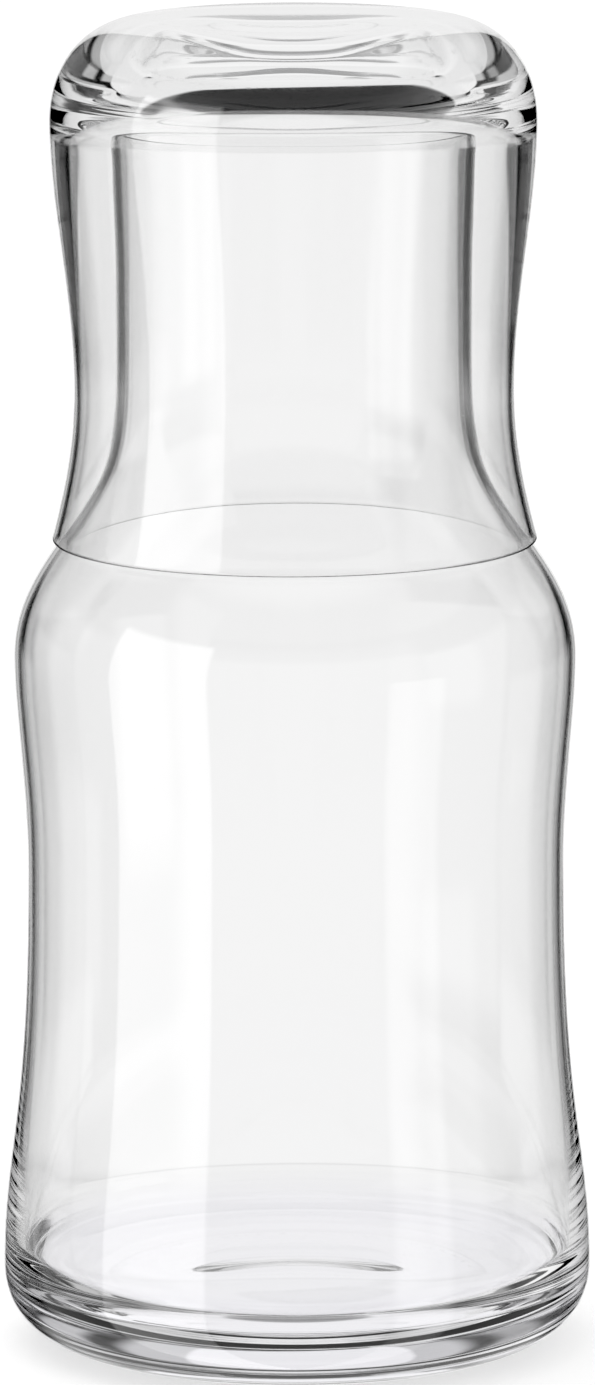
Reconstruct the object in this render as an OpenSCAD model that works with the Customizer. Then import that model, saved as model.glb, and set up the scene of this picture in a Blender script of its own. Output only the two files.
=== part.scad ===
// Bedside carafe with a tumbler that stores upside down over its neck.
// Both pieces are bodies of revolution in clear glass. Each outline runs through a few
// named stations, and the wall thickness is set at the same stations, so that the inside
// line follows the outside one. The tumbler's flared rim rests on the carafe's shoulder,
// where the two outlines meet as one.

/* [Carafe outline] */
// Widest diameter of the carafe, low on its heel
heel_d = 105; // [95:1:120]
// Height of the widest place above the table
heel_h = 14; // [10:0.5:20]
// Outer diameter of the flat ring that the carafe stands on
foot_d = 70; // [60:1:78]
// Diameter of the drawn-in middle of the body
waist_d = 95.4; // [90:0.2:102]
// Height of the drawn-in middle above the heel
waist_rise = 72; // [62:0.5:78]
// Widest diameter of the shoulder
shoulder_d = 99.7; // [96:0.1:106]
// Height of the widest place of the shoulder above the drawn-in middle
shoulder_rise = 38; // [32:0.5:44]
// Diameter of the circle on the shoulder where the tumbler rests
seat_d = 83.2; // [80:0.2:88]
// Height of that circle above the widest place of the shoulder
seat_rise = 20.6; // [17:0.2:24]
// Slope of the shoulder at that circle, from upright
seat_lean = 35; // [28:1:48]
// Narrowest diameter of the neck
neck_d = 62.7; // [58:0.1:66]
// Distance from the mouth down to the narrowest place of the neck
neck_drop = 29; // [18:0.5:36]
// Diameter of the mouth over its lip
mouth_d = 64; // [60:0.1:68]

/* [Carafe glass] */
// Thickness of the floor over the standing ring
floor_t = 11; // [5:0.5:14]
// Wall thickness at the heel
heel_wall = 3; // [2:0.1:4]
// Wall thickness at the drawn-in middle and the shoulder
body_wall = 1.6; // [1.4:0.1:2.6]
// Wall thickness at the seat
seat_wall = 1.6; // [1.4:0.1:2.6]
// Wall thickness of the neck and of its rounded lip
neck_wall = 1.6; // [1.4:0.1:2.6]
// Radius of the round corner between the floor and the inside wall
floor_round = 9; // [5:0.5:12]
// Rise of the underside at its middle
punt_h = 1.5; // [0.5:0.1:3]
// Width of the flat ring that the carafe stands on
foot_ring = 3; // [2:0.5:6]

/* [Tumbler outline] */
// Height of the tumbler from its rim to its foot
tumbler_h = 92.6; // [88:0.2:100]
// Distance from the rim to the drawn-in middle
grip_h = 27; // [22:0.5:34]
// Slope of the flared rim, from upright
flare_lean = 15; // [8:1:20]
// How much wider the tumbler's heavy base is than its drawn-in middle
base_flare = 8.1; // [6:0.1:12]
// Distance from the foot to the widest place of the base
base_h = 18; // [14:0.5:22]
// Outer diameter of the flat ring that the tumbler stands on when it is in use
tumbler_foot_d = 54; // [48:1:62]

/* [Tumbler glass] */
// Thickness of the heavy base at its middle
sham_t = 8; // [5:0.5:12]
// Wall thickness from the rounded rim to the drawn-in middle
rim_wall = 1.2; // [1:0.1:1.6]
// Wall thickness where the wall runs into the heavy base
shank_wall = 3.6; // [2:0.1:4]
// How far the rounded corner inside the tumbler reaches in over its floor
corner_reach = 16; // [8:0.5:20]
// How far that corner runs along the wall
corner_drop = 12; // [6:0.5:16]
// Width of the flat ring that the tumbler stands on
tumbler_foot_ring = 5; // [3:0.5:8]
// Depth of the hollow inside that ring
hollow_depth = 1; // [0.5:0.1:2.5]

/* [Fit] */
// Space between the tumbler's rim and the shoulder that it rests on
seat_gap = 0.3; // [0.2:0.05:0.5]
// Space between the carafe's mouth and the tumbler's floor above it
mouth_gap = 6; // [2:0.5:9]
// Space around the carafe's mouth where the tumbler is narrowest
neck_gap = 5.7; // [4:0.1:8]

/* [Hidden] */
$fn = 160;

// Straight stretches in each curve between two stations
curve_steps = 14;
// Straight stretches in a rounded rim
lip_steps = 12;
// Cubic millimetres in a litre
cubic_mm_per_litre = 1e6;

// Half of each wall at the rounded rims
lip_r = neck_wall / 2;
rim_r = rim_wall / 2;

// Each height of the carafe's body stands on the one below it
waist_z = heel_h + waist_rise;
shoulder_z = waist_z + shoulder_rise;
seat_z = shoulder_z + seat_rise;

// The tumbler stands on the seat, and its foot is the highest face of the pair
rim_centre = [
    seat_d / 2 + cos(seat_lean) * (rim_r + seat_gap),
    seat_z + sin(seat_lean) * (rim_r + seat_gap)
];
tumbler_foot_z = rim_centre[1] + tumbler_h - rim_r;
cup_floor_z = tumbler_foot_z - hollow_depth - sham_t;

// The neck reaches up into the tumbler, and the tumbler's wall clears its mouth
mouth_z = cup_floor_z - mouth_gap - lip_r;
neck_z = mouth_z - neck_drop;
grip_r = mouth_d / 2 + neck_gap + rim_wall;
base_r = grip_r + base_flare / 2;

// Reach of each curve's two handles, as shares of the way between its ends
heel_shares = [0.55, 0.70];
low_body_shares = [0.29, 0.64];
high_body_shares = [0.42, 0.29];
shoulder_shares = [0.42, 0.33];
neck_shares = [0.38, 0.68];
mouth_shares = [0.35, 0.45];
flare_shares = [0.34, 0.36];
shank_shares = [0.36, 0.32];
base_shares = [0.56, 0.60];
corner_shares = [0.55, 0.55];
dome_shares = [0.50, 0.55];

// A point on a cubic curve with ends a and d and handles b and c
function cubic(a, b, c, d, t) =
    pow(1 - t, 3) * a + 3 * pow(1 - t, 2) * t * b
    + 3 * (1 - t) * t * t * c + pow(t, 3) * d;

// The points of a cubic curve, without its last one
function curve(a, b, c, d) = [
    for (i = [0 : curve_steps - 1]) cubic(a, b, c, d, i / curve_steps)
];

// A station is [radius, height, slope of the wall from upright, leaning inwards]
function place(station) = [station[0], station[1]];
function rise(station) = [-sin(station[2]), cos(station[2])];

// The same station on the inner side of a wall
function inset(station, wall) = [
    station[0] - wall * cos(station[2]),
    station[1] - wall * sin(station[2]),
    station[2]
];

// The curve from one station up to the next, which keeps the wall's slope at both
function run_up(from, to, shares) =
    let (climb = to[1] - from[1])
    curve(
        place(from),
        place(from) + shares[0] * climb * rise(from),
        place(to) - shares[1] * climb * rise(to),
        place(to)
    );

// The curve from a level face up into an upright wall
function turn_up(level, wall, shares) = curve(
    level,
    [level[0] + shares[0] * (wall[0] - level[0]), level[1]],
    [wall[0], wall[1] - shares[1] * (wall[1] - level[1])],
    place(wall)
);

// The curve from an upright wall over into a level face
function turn_over(wall, level, shares) = curve(
    place(wall),
    [wall[0], wall[1] + shares[1] * (level[1] - wall[1])],
    [level[0] + shares[0] * (wall[0] - level[0]), level[1]],
    level
);

// The shallow dome between the axis and the rim of a hollow, level at both
function dome(axis, edge) = curve(
    axis,
    [axis[0] + dome_shares[0] * (edge[0] - axis[0]), axis[1]],
    [edge[0] - dome_shares[1] * (edge[0] - axis[0]), edge[1]],
    edge
);

// A round edge from one angle to another about a centre, without its last point
function round_edge(centre, r, from, to) = [
    for (i = [0 : lip_steps - 1])
        let (a = from + (to - from) * i / lip_steps)
        centre + r * [cos(a), sin(a)]
];

function backwards(points) = [for (i = [len(points) - 1 : -1 : 0]) points[i]];
function total(values) = [for (v = values) 1] * values;

// Litres inside an outline that turns about the axis, from the cones between its points
function litres(line) = PI / 3 / cubic_mm_per_litre * abs(total([
    for (i = [0 : len(line) - 2])
        (line[i + 1][1] - line[i][1])
        * (pow(line[i][0], 2) + line[i][0] * line[i + 1][0] + pow(line[i + 1][0], 2))
]));

// The carafe's stations, from the heel to the mouth
heel = [heel_d / 2, heel_h, 0];
waist = [waist_d / 2, waist_z, 0];
shoulder = [shoulder_d / 2, shoulder_z, 0];
seat = [seat_d / 2, seat_z, seat_lean];
neck = [neck_d / 2, neck_z, 0];
mouth = [mouth_d / 2, mouth_z, 0];

// Its foot, from the middle of the underside to the edge of the standing ring
punt = [0, punt_h];
foot_in = [foot_d / 2 - foot_ring, 0];
foot_out = [foot_d / 2, 0];

carafe_outside = concat(
    dome(punt, foot_in),
    [foot_in],
    turn_up(foot_out, heel, heel_shares),
    run_up(heel, waist, low_body_shares),
    run_up(waist, shoulder, high_body_shares),
    run_up(shoulder, seat, shoulder_shares),
    run_up(seat, neck, neck_shares),
    run_up(neck, mouth, mouth_shares),
    round_edge([mouth[0] - lip_r, mouth[1]], lip_r, 0, 180)
);

// The inside of the carafe, from the middle of the floor to the mouth
inner_heel = [heel_d / 2 - heel_wall, floor_t + floor_round, 0];
inner_waist = inset(waist, body_wall);
inner_shoulder = inset(shoulder, body_wall);
inner_seat = inset(seat, seat_wall);
inner_neck = inset(neck, neck_wall);
inner_mouth = inset(mouth, neck_wall);

carafe_inside = concat(
    [[0, floor_t]],
    turn_up([inner_heel[0] - floor_round, floor_t], inner_heel, corner_shares),
    run_up(inner_heel, inner_waist, low_body_shares),
    run_up(inner_waist, inner_shoulder, high_body_shares),
    run_up(inner_shoulder, inner_seat, shoulder_shares),
    run_up(inner_seat, inner_neck, neck_shares),
    run_up(inner_neck, inner_mouth, mouth_shares),
    [place(inner_mouth)]
);

// The tumbler's stations as it stands upside down, from the rim to the base
rim_out = [
    rim_centre[0] + rim_r * cos(flare_lean),
    rim_centre[1] + rim_r * sin(flare_lean),
    flare_lean
];
grip = [grip_r, rim_centre[1] - rim_r + grip_h, 0];
base = [base_r, tumbler_foot_z - base_h, 0];

// Its foot, from the rounded edge to the middle of the hollow
tumbler_foot_out = [tumbler_foot_d / 2, tumbler_foot_z];
tumbler_foot_in = [tumbler_foot_d / 2 - tumbler_foot_ring, tumbler_foot_z];
hollow = [0, tumbler_foot_z - hollow_depth];

tumbler_outside = concat(
    run_up(rim_out, grip, flare_shares),
    run_up(grip, base, shank_shares),
    turn_over(base, tumbler_foot_out, base_shares),
    [tumbler_foot_out, tumbler_foot_in],
    backwards(dome(hollow, tumbler_foot_in))
);

// The inside of the tumbler, from the rim to the middle of its floor
rim_in = inset(rim_out, rim_wall);
inner_grip = inset(grip, rim_wall);
cup_floor = [0, cup_floor_z];
shank = [base_r - shank_wall, cup_floor_z - corner_drop, 0];
cup_floor_edge = [shank[0] - corner_reach, cup_floor_z];

tumbler_inside = concat(
    run_up(rim_in, inner_grip, flare_shares),
    run_up(inner_grip, shank, shank_shares),
    turn_over(shank, cup_floor_edge, corner_shares),
    [cup_floor_edge, cup_floor]
);

echo(carafe_litres = litres(carafe_inside), tumbler_litres = litres(tumbler_inside));

module carafe() {
    color([0.86, 0.92, 0.93, 0.4])
        rotate_extrude()
            polygon(concat(carafe_outside, backwards(carafe_inside)));
}

module tumbler() {
    color([0.90, 0.94, 0.96, 0.4])
        rotate_extrude()
            polygon(concat(
                tumbler_outside,
                backwards(tumbler_inside),
                round_edge(rim_centre, rim_r, 180 + flare_lean, 360 + flare_lean)
            ));
}

carafe();
tumbler();
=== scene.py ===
# %% [markdown]
# A carafe and its tumbler, both blown in clear glass, stand as one column: the tumbler is
# stored upside down over the neck, and its thin rim rests on the shoulder. Clear glass has
# no colour of its own to show. Its picture is made by what it bends and mirrors, so two
# things matter most here: true wall thicknesses, and a studio worth mirroring.

# %% Load the fixed frame
import math
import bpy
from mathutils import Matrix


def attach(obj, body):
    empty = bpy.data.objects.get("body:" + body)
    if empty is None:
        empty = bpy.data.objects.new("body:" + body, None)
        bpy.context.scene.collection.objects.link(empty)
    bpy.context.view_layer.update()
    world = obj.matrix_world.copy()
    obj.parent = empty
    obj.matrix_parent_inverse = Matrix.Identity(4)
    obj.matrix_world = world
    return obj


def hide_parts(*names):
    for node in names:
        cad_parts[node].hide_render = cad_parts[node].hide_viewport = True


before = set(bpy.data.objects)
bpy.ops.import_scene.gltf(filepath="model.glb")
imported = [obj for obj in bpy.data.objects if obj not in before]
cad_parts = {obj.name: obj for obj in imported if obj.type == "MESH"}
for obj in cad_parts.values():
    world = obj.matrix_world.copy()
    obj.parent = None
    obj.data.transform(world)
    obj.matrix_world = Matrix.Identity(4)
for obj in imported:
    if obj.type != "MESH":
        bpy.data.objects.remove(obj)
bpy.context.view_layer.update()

from types import SimpleNamespace

import bpy
from mathutils import Quaternion, Vector

MM = 0.001

# %% [markdown]
# The camera stands in front of the pair and looks down on it a little, so that circles
# show as flat ellipses, rounder at the foot than at the top. How much they open sets both
# the height and the distance, and the lens then follows from the size in the picture. It
# is held a fifth of a degree out of level, as a camera on a real tripod might be.

# %% Place the camera
PICTURE = (595, 1385)
AIM = Vector((0.0004, 0, 0.1170))
CAMERA_FAR = 1.750
LOOK_DOWN = math.radians(9.8)
ROLL = math.radians(-0.19)
PIXELS_PER_METRE = 5630

camera_data = bpy.data.cameras.new("camera")
camera_data.lens = camera_data.sensor_width * PIXELS_PER_METRE * CAMERA_FAR / max(PICTURE)
camera_data.clip_start, camera_data.clip_end = 0.1, 100
camera = bpy.data.objects.new("camera", camera_data)
bpy.context.scene.collection.objects.link(camera)
camera.location = AIM + CAMERA_FAR * Vector((0, -math.cos(LOOK_DOWN), math.sin(LOOK_DOWN)))
upright = (AIM - camera.location).to_track_quat("-Z", "Y")
camera.rotation_euler = (upright @ Quaternion((0, 0, 1), ROLL)).to_euler()
bpy.context.scene.camera = camera
print("lens in mm:", round(camera_data.lens, 1))

# %% [markdown]
# Shader maths reads best as plain sums. This class wraps one socket of a node, and each
# operator adds the Math node that it stands for. One function adds any other kind of node.
# The same sums could be wired by hand in the editor, but there they are hard to read.

# %% A socket that can be added and multiplied
class Term:
    def __init__(self, tree, socket):
        self.tree, self.socket = tree, socket

    def math(self, operation, *others):
        made = self.tree.nodes.new("ShaderNodeMath")
        made.operation = operation
        for value, socket in zip((self, *others), made.inputs):
            plug(self.tree, value, socket)
        return Term(self.tree, made.outputs[0])

    def __add__(self, other): return self.math("ADD", other)
    def __radd__(self, other): return self.math("ADD", other)
    def __sub__(self, other): return self.math("SUBTRACT", other)
    def __rsub__(self, other): return (self * -1).math("ADD", other)
    def __mul__(self, other): return self.math("MULTIPLY", other)
    def __rmul__(self, other): return self.math("MULTIPLY", other)


def plug(tree, value, socket):
    if isinstance(value, Term):
        tree.links.new(value.socket, socket)
    else:
        socket.default_value = value


def add_node(tree, kind, out=0, settings=None, **values):
    """Any other node: its settings first, then the values or links of its sockets."""
    made = tree.nodes.new(kind)
    for name, value in (settings or {}).items():
        setattr(made, name, value)
    for name, value in values.items():
        plug(tree, value, made.inputs[name.replace("_", " ")])
    return Term(tree, made.outputs[out])


print("a term can be added, subtracted and multiplied")

# %% [markdown]
# Two masks do nearly all the work. One is 1 past a value, and the other is 1 between two.
# Both change over an edge of a few degrees. A hard step would be simpler, but a real card
# that stands close to the glass is never quite in focus.

# %% Masks with soft edges
SHARP = 1.5


def past(value, start, soft=SHARP):
    """0 below start and 1 above it, over a soft edge."""
    return add_node(value.tree, "ShaderNodeMapRange",
                    settings={"interpolation_type": "SMOOTHSTEP"},
                    Value=value, From_Min=start - soft / 2, From_Max=start + soft / 2)


def card(value, low, high, soft=SHARP):
    """1 between two angles, with soft edges."""
    return past(value, low, soft) * (1 - past(value, high, soft))


def brightest(*terms):
    top = terms[0]
    for term in terms[1:]:
        top = top.math("MAXIMUM", term)
    return top


print("edge of a plain card in degrees:", SHARP)

# %% [markdown]
# Clear glass against white is lit as bright field: a white card stands right behind it,
# only as wide as the view needs, and the studio to both sides of the card is dark. Rays
# through the middle of the glass see the card. Rays through the walls at the sides are
# bent by 15 degrees or more, miss the card, and draw the dark lines that show the shape.
# Large soft boxes to the left and right of the camera then lay long pale strips over it.
# All of it is written here as a sky: what is seen in each direction, by turn and by pitch.

# %% The directions of the sky
DEGREES = math.degrees(1)

world = bpy.data.worlds.new("studio")
bpy.context.scene.world = world
world.use_nodes = True
sky = world.node_tree
sky.nodes.clear()

towards = add_node(sky, "ShaderNodeTexCoord")
parts = add_node(sky, "ShaderNodeSeparateXYZ", Vector=towards).socket.node
across, ahead, upward = (Term(sky, socket) for socket in parts.outputs)
turn = (across * -1).math("ARCTAN2", ahead) * DEGREES
pitch = upward.math("ARCSINE") * DEGREES
print("nodes for turn and pitch:", len(sky.nodes))

# %% [markdown]
# What the glass bends into view and what it mirrors are kept apart, as a photographer
# does with flags and cards that only one of the two can see. A turn of 0 is straight
# ahead of the camera and 90 is to its left, and pitch counts up from the horizon. Right
# behind the pair stands the bright card, with its top cut on a slant. Wider and weaker
# cards fill in where the thick foot and the tumbler's base look further round. The gap
# that stays dark high up behind the pair draws the black band in the tumbler's base.
# The upright cards are plain rows of a table, which is easy to tune card by card.

# %% Upright cards that are seen through the glass
PANEL_EDGE = 4


def panel(start, end, bottom, top, edge=PANEL_EDGE):
    """A card or soft box between two turns and two pitches."""
    return card(turn, start, end, edge) * card(pitch, bottom, top, PANEL_EDGE)


def hang(rows):
    """Hang a table of panels. A row has the values of a panel and its brightness."""
    return brightest(*(panel(*place) * glow for *place, glow in rows.values()))


# Each row: turn from and to, pitch from and to, edge of the turn, brightness.
upright_cards = hang({
    "back wall":       (-27, 26, 3, 28, 6, 0.55),
    "low card":        (-75, 75, -62, -15, PANEL_EDGE, 0.9),
    "left fill":       (42, 75, -14, 4, 8, 0.55),
    "high left fill":  (33, 45, 4, 26, 6, 0.3),
    "right fill":      (-52, -36, 2, 19, 6, 0.5),
    "left wall":       (75, 140, -20, 50, PANEL_EDGE, 0.95),
    "right wall":      (-124, -96, -12, 18, 10, 0.75),
})
print("nodes with the upright cards:", len(sky.nodes))

# %% [markdown]
# A few cards need more than a table row. The back card's top is cut on a slant and it
# fades a little upward, the high card's right edge leans, and the rest of the room closes
# round the pair on both sides alike: behind the camera, overhead and underneath.

# %% Cut cards and the rest of the room
LEAN = 0.5

aside = turn.math("ABSOLUTE")
below_top = (1 - past(pitch - turn * LEAN, 33, 3)) * (1 - past(pitch, 38, 3))
fading_up = 0.93 - past(pitch, 4, 4) * 0.08
back_card = card(turn, -16, 17, 3) * past(pitch, -17, 4) * below_top * fading_up
high_card = past(turn - pitch * LEAN, -4.5) * panel(0, 75, 32, 64) * 0.72
low_fill = card(aside, 24, 80, 6) * card(pitch, -20, -7, 5) * 0.5
camera_side = past(aside, 126, 14) * card(pitch, -60, 30, 16) * 0.82
high_walls = past(pitch, 34, 4) * past(aside, 60, 20) * 0.55
ceiling = past(pitch, 70, 4) * 0.9
underneath = (1 - past(pitch, -36, 6)) * (0.3 + past(pitch, -62, 6) * 0.3)
behind = brightest(upright_cards, back_card, high_card, low_fill, camera_side, high_walls,
                   ceiling, underneath)
print("nodes with all that is bent into view:", len(sky.nodes))

# %% [markdown]
# The mirrored half holds the two soft boxes. The left one is a hard-edged strip, and the
# right one is weaker and softer. The card behind shows once more in the outermost edges,
# where glass mirrors most.

# %% What the glass mirrors
soft_boxes = hang({
    "left box":    (98, 144, -90, 28, 3, 3),
    "right box":   (-142, -116, -90, 2, 8, 2),
})
edge_card = card(turn, -12, 12) * 0.87
room = past(aside, 60, 10) * (1 - past(pitch, 20, 6)) * 0.75
top_light = past(pitch, 55, 10) * 0.9
paper_light = 1 - past(pitch, -30, 10)
mirrored = brightest(soft_boxes, edge_card, room, top_light, paper_light)
print("nodes with all that is mirrored:", len(sky.nodes))

# %% [markdown]
# A ray that the glass has bent counts in Cycles as mirrored too, so the mirrored part is
# taken only where nothing was bent. The camera itself sees plain white.

# %% Light the sky
WHITE = (1, 1, 1, 1)
AMBIENT = 0.8

ray = add_node(sky, "ShaderNodeLightPath").socket.node
seen, glossy, bent = (
    Term(sky, ray.outputs[name])
    for name in ("Is Camera Ray", "Is Glossy Ray", "Is Transmission Ray")
)
plain = (1 - seen) * (1 - glossy) * (1 - bent)
strength = seen + glossy * (1 - bent) * mirrored + bent * behind + plain * AMBIENT
backdrop = add_node(sky, "ShaderNodeBackground", Color=WHITE, Strength=strength)
sky.links.new(backdrop.socket, sky.nodes.new("ShaderNodeOutputWorld").inputs["Surface"])
print("nodes of the whole sky:", len(sky.nodes))

# %% [markdown]
# The table is a sheet of white paper. It takes the soft shadow of the pair, and a little
# glow that only the camera sees lifts it to the white of the backdrop. White paper under
# a stronger lamp would be as bright, but the shadow on it would be far darker.

# %% The paper on the table
PAPER_SIDE = 60
PAPER_COLOUR = (0.55, 0.55, 0.55, 1)
PAPER_GLOW = 0.62

bpy.ops.object.select_all(action="DESELECT")
bpy.ops.mesh.primitive_plane_add(size=PAPER_SIDE)
table = bpy.context.object
table.name = "table"
table.visible_transmission = False
table.visible_glossy = False
paper = bpy.data.materials.new("white_paper")
paper.use_nodes = True
tree = paper.node_tree
tree.nodes.clear()
is_seen = add_node(tree, "ShaderNodeLightPath")
lit = add_node(tree, "ShaderNodeBsdfDiffuse", Color=PAPER_COLOUR)
glow = add_node(tree, "ShaderNodeEmission", Strength=is_seen * PAPER_GLOW)
both = tree.nodes.new("ShaderNodeAddShader")
tree.links.new(lit.socket, both.inputs[0])
tree.links.new(glow.socket, both.inputs[1])
tree.links.new(both.outputs[0], tree.nodes.new("ShaderNodeOutputMaterial").inputs["Surface"])
table.data.materials.append(paper)
print("side of the paper in metres:", PAPER_SIDE)

# %% [markdown]
# One soft lamp overhead shades the paper under the foot. A sun would draw a hard shadow,
# and the even sky alone hardly any. The glass doesn't show this lamp.

# %% The lamp overhead
LAMP_SIDE = 0.9
LAMP_WATTS = 3.0
LAMP_PLACE = Vector((-0.25, 0.15, 1.1))
LIT_PLACE = Vector((0, 0, 0.1))

lamp_data = bpy.data.lights.new("overhead", "AREA")
lamp_data.shape = "RECTANGLE"
lamp_data.size = lamp_data.size_y = LAMP_SIDE
lamp_data.energy = LAMP_WATTS
lamp = bpy.data.objects.new("overhead", lamp_data)
bpy.context.scene.collection.objects.link(lamp)
lamp.location = LAMP_PLACE
lamp.rotation_euler = (LAMP_PLACE - LIT_PLACE).to_track_quat("Z", "Y").to_euler()
lamp.visible_transmission = False
lamp.visible_glossy = False
print("height of the lamp in metres:", LAMP_PLACE.z)

# %% [markdown]
# Both pieces are blown into moulds that spin, so each is a body of revolution, and one
# outline says all of it. The sizes are those of the part, in millimetres. The steps are
# fine enough that no facet shows through the glass, and few enough for a light mesh.

# %% Sizes of both glasses
size = SimpleNamespace(
    heel_d=105, heel_h=14, foot_d=70, waist_d=95.4, waist_rise=72, shoulder_d=99.7,
    shoulder_rise=38, seat_d=83.2, seat_rise=20.6, seat_lean=35, neck_d=62.7, neck_drop=29,
    mouth_d=64, floor_t=11, heel_wall=3, body_wall=1.6, seat_wall=1.6, neck_wall=1.6,
    floor_round=9, punt_h=1.5, foot_ring=3, tumbler_h=92.6, grip_h=27, flare_lean=15,
    base_flare=8.1, base_h=18, tumbler_foot_d=54, sham_t=8, rim_wall=1.2, shank_wall=3.6,
    corner_reach=16, corner_drop=12, tumbler_foot_ring=5, hollow_depth=1, seat_gap=0.3,
    mouth_gap=6, neck_gap=5.7,
)
CURVE_STEPS = 20
LIP_STEPS = 16
TURNS = 320

heel_shares = (0.55, 0.70)
low_body_shares = (0.29, 0.64)
high_body_shares = (0.42, 0.29)
shoulder_shares = (0.42, 0.33)
neck_shares = (0.38, 0.68)
mouth_shares = (0.35, 0.45)
flare_shares = (0.34, 0.36)
shank_shares = (0.36, 0.32)
base_shares = (0.56, 0.60)
corner_shares = (0.55, 0.55)
dome_shares = (0.50, 0.55)
print("named sizes:", len(vars(size)))

# %% [markdown]
# A blown wall has no corners, so the outline runs in smooth curves between a few stations.
# A station is a radius, a height and the slope of the wall there. Cubic curves keep that
# slope at both ends, and two shares say how far they follow it before they bend. A spline
# through many points would do too, but it ripples between them, and clear glass shows
# every ripple.

# %% Curves between stations
def curve(a, b, c, d):
    points = []
    for i in range(CURVE_STEPS):
        t = i / CURVE_STEPS
        weights = ((1 - t) ** 3, 3 * (1 - t) ** 2 * t, 3 * (1 - t) * t * t, t ** 3)
        points.append(tuple(sum(w * p[j] for w, p in zip(weights, (a, b, c, d)))
                            for j in (0, 1)))
    return points


def rise(station):
    lean = math.radians(station[2])
    return -math.sin(lean), math.cos(lean)


def inset(station, wall):
    """The same station on the inner side of a wall."""
    lean = math.radians(station[2])
    return (station[0] - wall * math.cos(lean), station[1] - wall * math.sin(lean), station[2])


def run_up(start, end, shares):
    climb = end[1] - start[1]
    return curve(start[:2],
                 tuple(start[j] + shares[0] * climb * rise(start)[j] for j in (0, 1)),
                 tuple(end[j] - shares[1] * climb * rise(end)[j] for j in (0, 1)), end[:2])


print("steps of a curve between two stations:", CURVE_STEPS)

# %% [markdown]
# Where a wall meets a floor, the mould leaves a quarter turn instead of a corner. It takes
# the same cubic curve, level at one end and upright at the other. Both rims have been held
# in a flame, which draws them up into a half circle.

# %% Corners, hollows and rims
def turn_up(level, wall, shares):
    """From a level face up into an upright wall."""
    return curve(level, (level[0] + shares[0] * (wall[0] - level[0]), level[1]),
                 (wall[0], wall[1] - shares[1] * (wall[1] - level[1])), wall[:2])


def turn_over(wall, level, shares):
    """From an upright wall over into a level face."""
    return curve(wall[:2], (wall[0], wall[1] + shares[1] * (level[1] - wall[1])),
                 (level[0] + shares[0] * (wall[0] - level[0]), level[1]), level)


def dome(axis, edge):
    """The shallow dome between the axis and the rim of a hollow, level at both."""
    return curve(axis, (axis[0] + dome_shares[0] * (edge[0] - axis[0]), axis[1]),
                 (edge[0] - dome_shares[1] * (edge[0] - axis[0]), edge[1]), edge)


def round_edge(centre, r, start, end):
    """A rounded rim, as a flame leaves it."""
    angles = [math.radians(start + (end - start) * i / LIP_STEPS) for i in range(LIP_STEPS)]
    return [(centre[0] + r * math.cos(a), centre[1] + r * math.sin(a)) for a in angles]


print("steps of a rounded rim:", LIP_STEPS)

# %% [markdown]
# The heights stand on each other. The carafe's body is stacked up from the heel, the
# tumbler's rim rests on the seat, and the neck reaches up to just below its floor.

# %% Heights and radii that follow
lip_r = size.neck_wall / 2
rim_r = size.rim_wall / 2
waist_z = size.heel_h + size.waist_rise
shoulder_z = waist_z + size.shoulder_rise
seat_z = shoulder_z + size.seat_rise
seat_slope = math.radians(size.seat_lean)
rim_centre = (size.seat_d / 2 + math.cos(seat_slope) * (rim_r + size.seat_gap),
              seat_z + math.sin(seat_slope) * (rim_r + size.seat_gap))
tumbler_foot_z = rim_centre[1] + size.tumbler_h - rim_r
cup_floor_z = tumbler_foot_z - size.hollow_depth - size.sham_t
mouth_z = cup_floor_z - size.mouth_gap - lip_r
grip_r = size.mouth_d / 2 + size.neck_gap + size.rim_wall
base_r = grip_r + size.base_flare / 2
print("seat, mouth and top in mm:", [round(z, 1) for z in (seat_z, mouth_z, tumbler_foot_z)])

# %% [markdown]
# The carafe has a thick flat floor with a slight punt below it, a heel that is its widest
# place, a drawn-in waist and a full shoulder. From the seat the wall sweeps up into the
# neck. The inside follows the outside at the wall's own thickness, and its floor turns
# up into the wall in a wide round.

# %% The carafe's outline
heel = (size.heel_d / 2, size.heel_h, 0)
waist = (size.waist_d / 2, waist_z, 0)
shoulder = (size.shoulder_d / 2, shoulder_z, 0)
seat = (size.seat_d / 2, seat_z, size.seat_lean)
neck = (size.neck_d / 2, mouth_z - size.neck_drop, 0)
mouth = (size.mouth_d / 2, mouth_z, 0)
foot_in = (size.foot_d / 2 - size.foot_ring, 0)
foot_out = (size.foot_d / 2, 0)
carafe_outside = (
    dome((0, size.punt_h), foot_in) + [foot_in] + turn_up(foot_out, heel, heel_shares)
    + run_up(heel, waist, low_body_shares) + run_up(waist, shoulder, high_body_shares)
    + run_up(shoulder, seat, shoulder_shares) + run_up(seat, neck, neck_shares)
    + run_up(neck, mouth, mouth_shares)
    + round_edge((mouth[0] - lip_r, mouth[1]), lip_r, 0, 180))

inner_heel = (size.heel_d / 2 - size.heel_wall, size.floor_t + size.floor_round, 0)
inner_waist, inner_shoulder = inset(waist, size.body_wall), inset(shoulder, size.body_wall)
inner_seat, inner_neck = inset(seat, size.seat_wall), inset(neck, size.neck_wall)
inner_mouth = inset(mouth, size.neck_wall)
carafe_inside = (
    [(0, size.floor_t)]
    + turn_up((inner_heel[0] - size.floor_round, size.floor_t), inner_heel, corner_shares)
    + run_up(inner_heel, inner_waist, low_body_shares)
    + run_up(inner_waist, inner_shoulder, high_body_shares)
    + run_up(inner_shoulder, inner_seat, shoulder_shares)
    + run_up(inner_seat, inner_neck, neck_shares)
    + run_up(inner_neck, inner_mouth, mouth_shares) + [inner_mouth[:2]])
carafe_line = carafe_outside + carafe_inside[::-1]
print("points of the carafe's outline:", len(carafe_line))

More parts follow.
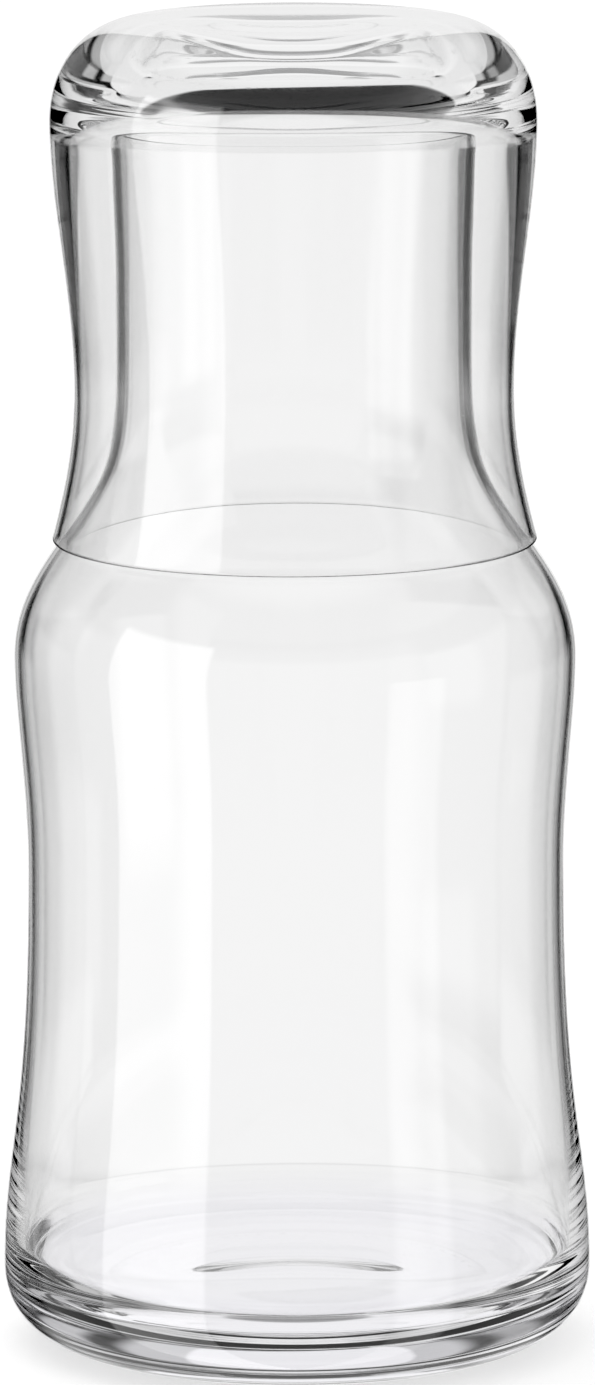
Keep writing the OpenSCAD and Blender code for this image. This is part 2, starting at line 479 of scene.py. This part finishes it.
# %% [markdown]
# The tumbler is drawn as it is stored, upside down. Its rim flares to sit on the shoulder,
# the wall narrows to a grip and widens again into a heavy base. That base, the sham, is a
# solid lens of glass with a big round over its edge and a faint hollow in its foot. Its
# inside corner is a wide, low round, which draws the dark band across the top.

# %% The tumbler's outline
flare = math.radians(size.flare_lean)
rim_out = (rim_centre[0] + rim_r * math.cos(flare), rim_centre[1] + rim_r * math.sin(flare),
           size.flare_lean)
grip = (grip_r, rim_centre[1] - rim_r + size.grip_h, 0)
base = (base_r, tumbler_foot_z - size.base_h, 0)
tumbler_foot_out = (size.tumbler_foot_d / 2, tumbler_foot_z)
tumbler_foot_in = (size.tumbler_foot_d / 2 - size.tumbler_foot_ring, tumbler_foot_z)
tumbler_outside = (
    run_up(rim_out, grip, flare_shares) + run_up(grip, base, shank_shares)
    + turn_over(base, tumbler_foot_out, base_shares) + [tumbler_foot_out, tumbler_foot_in]
    + dome((0, tumbler_foot_z - size.hollow_depth), tumbler_foot_in)[::-1])

rim_in, inner_grip = inset(rim_out, size.rim_wall), inset(grip, size.rim_wall)
shank = (base_r - size.shank_wall, cup_floor_z - size.corner_drop, 0)
cup_floor_edge = (shank[0] - size.corner_reach, cup_floor_z)
tumbler_inside = (
    run_up(rim_in, inner_grip, flare_shares) + run_up(inner_grip, shank, shank_shares)
    + turn_over(shank, cup_floor_edge, corner_shares) + [cup_floor_edge, (0, cup_floor_z)])
tumbler_line = (
    tumbler_outside + tumbler_inside[::-1]
    + round_edge(rim_centre, rim_r, 180 + size.flare_lean, 360 + size.flare_lean))
print("points of the tumbler's outline:", len(tumbler_line))

# %% [markdown]
# The outline is drawn by extruding one point from place to place, and is then spun round
# the axis. A Screw modifier would spin it as well, but spinning in edit mode leaves plain
# mesh at once. The rings meet in one point at the axis, and the seam of the turn is
# welded, so that the glass is a closed solid and light is bent at every face just once.

# %% Spin the two pieces
OUTLINE_WELD = 1e-7
SEAM_WELD = 1e-6
SHARPEST_ROUND = math.radians(40)


def spin_glass(name, outline, closed):
    bpy.ops.object.select_all(action="DESELECT")
    start = Vector((outline[0][0], 0, outline[0][1])) * MM
    bpy.ops.mesh.primitive_plane_add(size=MM, location=start)
    piece = bpy.context.object
    piece.name = name
    bpy.ops.object.mode_set(mode="EDIT")
    bpy.ops.mesh.select_all(action="SELECT")
    bpy.ops.mesh.merge(type="CENTER")
    following = outline[1:] + (outline[:1] if closed else [])
    for (r, z), (next_r, next_z) in zip(outline, following):
        bpy.ops.mesh.extrude_region_move(
            TRANSFORM_OT_translate={"value": Vector((next_r - r, 0, next_z - z)) * MM})
    bpy.ops.mesh.select_all(action="SELECT")
    bpy.ops.mesh.remove_doubles(threshold=OUTLINE_WELD)
    bpy.ops.mesh.select_all(action="SELECT")
    bpy.ops.mesh.spin(steps=TURNS, angle=2 * math.pi, center=(0, 0, 0), axis=(0, 0, 1))
    bpy.ops.mesh.select_all(action="SELECT")
    bpy.ops.mesh.remove_doubles(threshold=SEAM_WELD)
    bpy.ops.mesh.select_all(action="SELECT")
    bpy.ops.mesh.normals_make_consistent(inside=False)
    bpy.ops.object.mode_set(mode="OBJECT")
    bpy.ops.object.transform_apply(location=True, rotation=True, scale=True)
    bpy.ops.object.shade_smooth_by_angle(angle=SHARPEST_ROUND)
    print(name, "has", len(piece.data.vertices), "vertices")
    return piece


carafe = spin_glass("carafe_glass", carafe_line, closed=False)
tumbler = spin_glass("tumbler_glass", tumbler_line, closed=True)

# %% [markdown]
# Blown glass is never quite even. Cords, faint bands of denser glass, run round it and
# make straight lines sway a little. They are so shallow that a bump of a few hundredths
# of a millimetre is enough. The ring that a piece stands on is scuffed by the table, so
# there the polish breaks into a fine frost. Thick glass also has a trace of cold violet,
# which shows only where the foot gathers it. Real absorption would tint by depth, but the
# export keeps a base colour more faithfully.

# %% The clear glass
GLASS_IOR = 1.5
CORD_STRETCH = (14, 14, 60)
CORD_DEPTH = 0.02 * MM
GRAIN_SCALE = 900.0
GRAIN_CUT, GRAIN_EDGE = 0.55, 0.2
SCUFF_WIDTH, SCUFF_FADE = 0.7 * MM, 1.2 * MM
SCUFF_ROUGHNESS = 0.2
VIOLET = (0.965, 0.96, 0.998, 1)
VIOLET_FADE = 12 * MM


def clear_glass(name, ring_radius, ring_height, violet_top):
    """Clear glass that is scuffed at one ring and faintly violet below one height."""
    made = bpy.data.materials.new(name)
    made.use_nodes = True
    tree = made.node_tree
    shader = tree.nodes["Principled BSDF"]
    shader.inputs["IOR"].default_value = GLASS_IOR
    shader.inputs["Transmission Weight"].default_value = 1.0

    place = add_node(tree, "ShaderNodeTexCoord", out=3)
    height = add_node(tree, "ShaderNodeSeparateXYZ", out=2, Vector=place)
    stretched = add_node(tree, "ShaderNodeMapping", Vector=place, Scale=CORD_STRETCH)
    cords = add_node(tree, "ShaderNodeTexNoise", Vector=stretched, Scale=1.0, Detail=2.0)
    swayed = add_node(tree, "ShaderNodeBump", Height=cords, Distance=CORD_DEPTH)
    plug(tree, swayed, shader.inputs["Normal"])

    grains = add_node(tree, "ShaderNodeTexNoise", Vector=place, Scale=GRAIN_SCALE, Detail=6.0)
    flat = add_node(tree, "ShaderNodeVectorMath", settings={"operation": "MULTIPLY"},
                    Vector=place)
    flat.socket.node.inputs[1].default_value = (1, 1, 0)
    radius = add_node(tree, "ShaderNodeVectorMath", out=1, settings={"operation": "LENGTH"},
                      Vector=flat)
    off_ring = (radius - ring_radius).math("ABSOLUTE") + (height - ring_height).math("ABSOLUTE")
    scuffs = (1 - past(off_ring, SCUFF_WIDTH, SCUFF_FADE)) * past(grains, GRAIN_CUT, GRAIN_EDGE)
    plug(tree, scuffs * SCUFF_ROUGHNESS, shader.inputs["Roughness"])

    tint = add_node(tree, "ShaderNodeMix", out=2, settings={"data_type": "RGBA"},
                    Factor=past(height, violet_top, VIOLET_FADE))
    mix = tint.socket.node
    mix.inputs[6].default_value = VIOLET
    mix.inputs[7].default_value = WHITE
    plug(tree, tint, shader.inputs["Base Color"])
    return made


print("roughness of the scuffed ring at most:", SCUFF_ROUGHNESS)

# %% [markdown]
# Each piece gets glass of its own, because each is scuffed at the middle of its own foot
# ring, and only the carafe's foot is thick enough to show the violet. Then each one takes
# the place of the plain solid and moves with its body.

# %% Finish both pieces
foot_middle = (size.foot_d - size.foot_ring) / 2
tumbler_foot_middle = (size.tumbler_foot_d - size.tumbler_foot_ring) / 2
finishes = {
    carafe: ("carafe", clear_glass(
        "carafe_glass", foot_middle * MM, 0, size.heel_h * MM)),
    tumbler: ("tumbler", clear_glass(
        "tumbler_glass", tumbler_foot_middle * MM, tumbler_foot_z * MM, 0)),
}
for piece, (node_name, finish) in finishes.items():
    piece.data.materials.append(finish)
    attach(piece, node_name)
    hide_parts(node_name)
    print(piece.name, "stands for", node_name)

# %% [markdown]
# A ray through both pieces crosses eight faces and may be thrown back inside a wall many
# times, so it is allowed many bounces. White stays white in the Standard view.

# %% Bounces and view
BOUNCES = 48
MIRROR_BOUNCES = 32

cycles = bpy.context.scene.cycles
cycles.max_bounces = BOUNCES
cycles.transmission_bounces = BOUNCES
cycles.glossy_bounces = MIRROR_BOUNCES
cycles.use_denoising = True
bpy.context.scene.view_settings.view_transform = "Standard"
